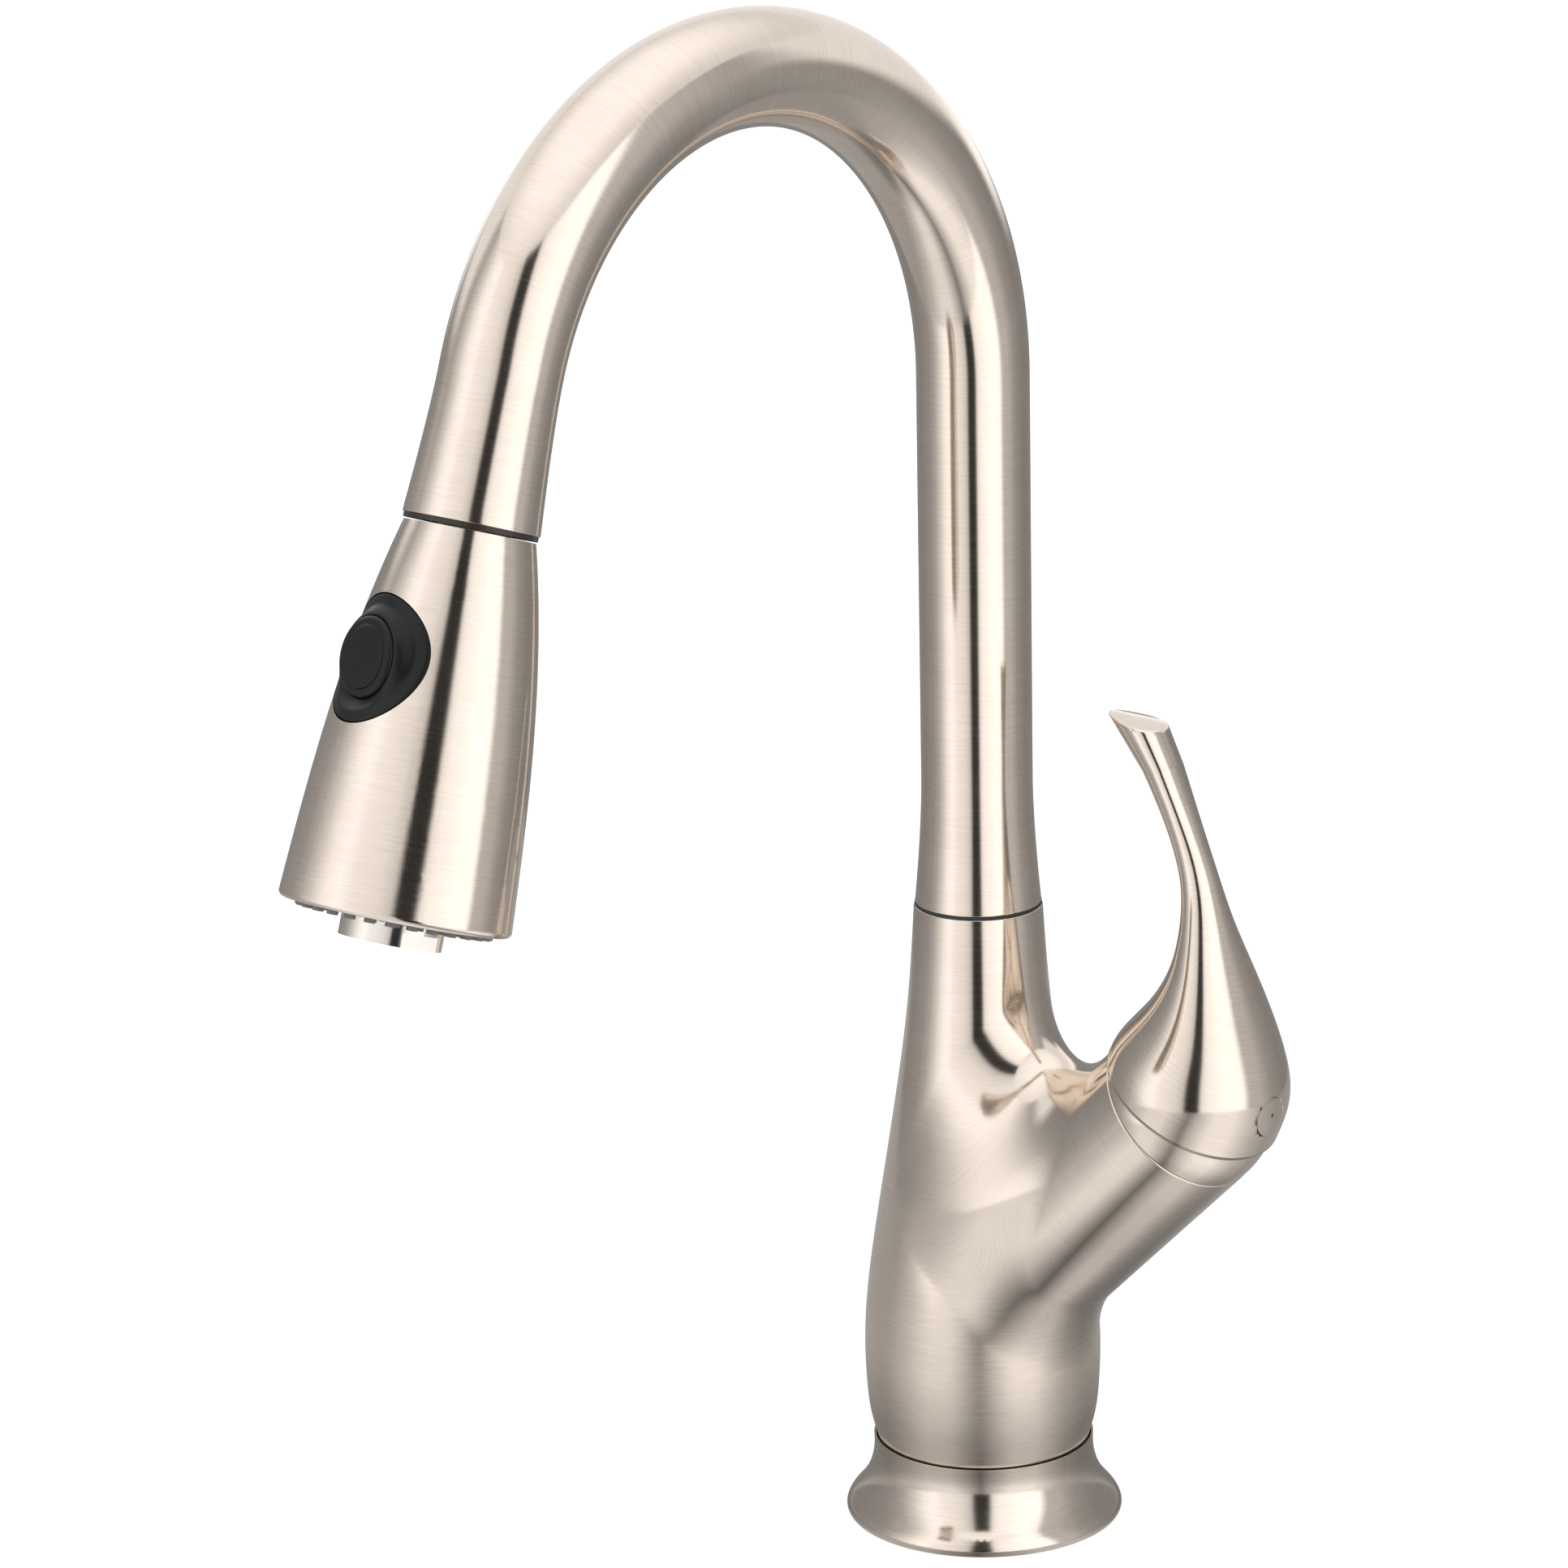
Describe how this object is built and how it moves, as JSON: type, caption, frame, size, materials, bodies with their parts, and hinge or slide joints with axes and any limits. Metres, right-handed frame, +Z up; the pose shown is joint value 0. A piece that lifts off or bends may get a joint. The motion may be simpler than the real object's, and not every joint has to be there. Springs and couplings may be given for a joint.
{
  "type": "pull-down kitchen faucet",
  "caption": "Single-lever kitchen faucet with a high-arc swivel spout and a pull-down spray head with a spray button",
  "frame": {"origin": "centre of the deck plane under the column", "axes": "+Z up, the spout reaches toward -Y, the handle branch leans toward +X"},
  "size_m": [0.1288, 0.2688, 0.5121],
  "materials": {
    "brushed_nickel": "warm satin nickel, fine circumferential brushing",
    "chrome": "polished",
    "brass": "machined",
    "copper": "drawn tube",
    "stainless": "machined",
    "black_plastic": "moulded, fine matt",
    "dark_ring": "moulded, satin",
    "button_black": "soft touch",
    "white_plastic": "moulded",
    "grey_rubber": "silicone, satin",
    "black_rubber": "moulded",
    "ceramic": "lapped",
    "hose_braid": "tight polymer braid",
    "grey_plastic": "moulded, satin"
  },
  "bodies": {
    "base": {"base_flange": "brushed_nickel", "deck_gasket": "black_rubber", "mounting_shank": "brass", "rubber_washer": "black_rubber", "steel_washer": "stainless", "mounting_nut": "brass", "nut_screws": "stainless", "body": "brushed_nickel", "body_o_ring": "black_rubber", "valve_seat": "brass", "cartridge_seals": "black_rubber", "cartridge_housing": "white_plastic", "fixed_disc": "ceramic", "bonnet_nut": "brass", "dome_collar": "brushed_nickel", "swivel_bushes": "white_plastic", "riser_hose": "hose_braid", "hose_connector": "brass", "hot_supply_tube": "copper", "cold_supply_tube": "copper", "outlet_tube": "copper"},
    "spout": {"spout_tube": "brushed_nickel", "spout_hub": "brass", "spout_friction_ring": "black_rubber", "spout_retaining_ring": "stainless", "dock_ring": "dark_ring", "dock_guide": "black_plastic", "spout_hose": "hose_braid"},
    "hose_end": {"pullout_hose": "hose_braid", "hose_end_nut": "brass"},
    "spray_head": {"head_shell": "brushed_nickel", "button_panel": "black_plastic", "button_spring": "stainless", "head_waterway": "white_plastic", "check_valve": "white_plastic", "nozzle_mat": "grey_rubber", "face_plate": "grey_plastic", "aerator_housing": "chrome", "aerator_insert": "white_plastic", "face_seal": "black_rubber"},
    "button": {"button": "button_black", "diverter_spool": "white_plastic", "spool_rings": "black_rubber"},
    "valve_rotor": {"cartridge_rotor": "white_plastic", "stem_pin": "stainless"},
    "valve_disc": {"moving_disc": "ceramic", "disc_carrier": "white_plastic"},
    "handle": {"handle": "brushed_nickel", "handle_set_screw": "stainless", "index_plug": "brushed_nickel", "cartridge_stem": "brass"}
  },
  "joints": [
    {"name": "spout_swivel", "type": "hinge", "parent": "base", "child": "spout", "pos_m": [0, 0, 0.16515], "axis": [0, 0, 1], "continuous": true},
    {"name": "spray_head_pull", "type": "slide", "parent": "spout", "child": "hose_end", "axis": [0, -0.3223, -0.9466], "range_m": [0, 0.2], "stiffness_N_per_m": 5, "springref_m": -1.2},
    {"name": "spray_head_turn", "type": "hinge", "parent": "hose_end", "child": "spray_head", "pos_m": [0, -0.17853, 0.29706], "axis": [0, -0.3223, -0.9466], "continuous": true},
    {"name": "button_press", "type": "slide", "parent": "spray_head", "child": "button", "axis": [0.165, 0.9337, -0.3178], "range_m": [0, 0.002], "stiffness_N_per_m": 400, "springref_m": -0.002, "deforming": ["button_spring"]},
    {"name": "handle_temperature", "type": "hinge", "parent": "base", "child": "valve_rotor", "pos_m": [0.06624, 0, 0.12416], "axis": [0.7137, 0, 0.7004], "range_deg": [-45, 45]},
    {"name": "handle_flow", "type": "hinge", "parent": "valve_rotor", "child": "handle", "pos_m": [0.06624, 0, 0.12416], "axis": [0, 1, 0], "range_deg": [0, 25]},
    {"name": "disc_slide", "type": "slide", "parent": "valve_rotor", "child": "valve_disc", "axis": [-0.7004, 0, 0.7137], "range_m": [0, 0.00702]}
  ],
  "couplings": [
    {"joint": "disc_slide", "follows": "handle_flow", "m_per_rad": 0.015865}
  ]
}
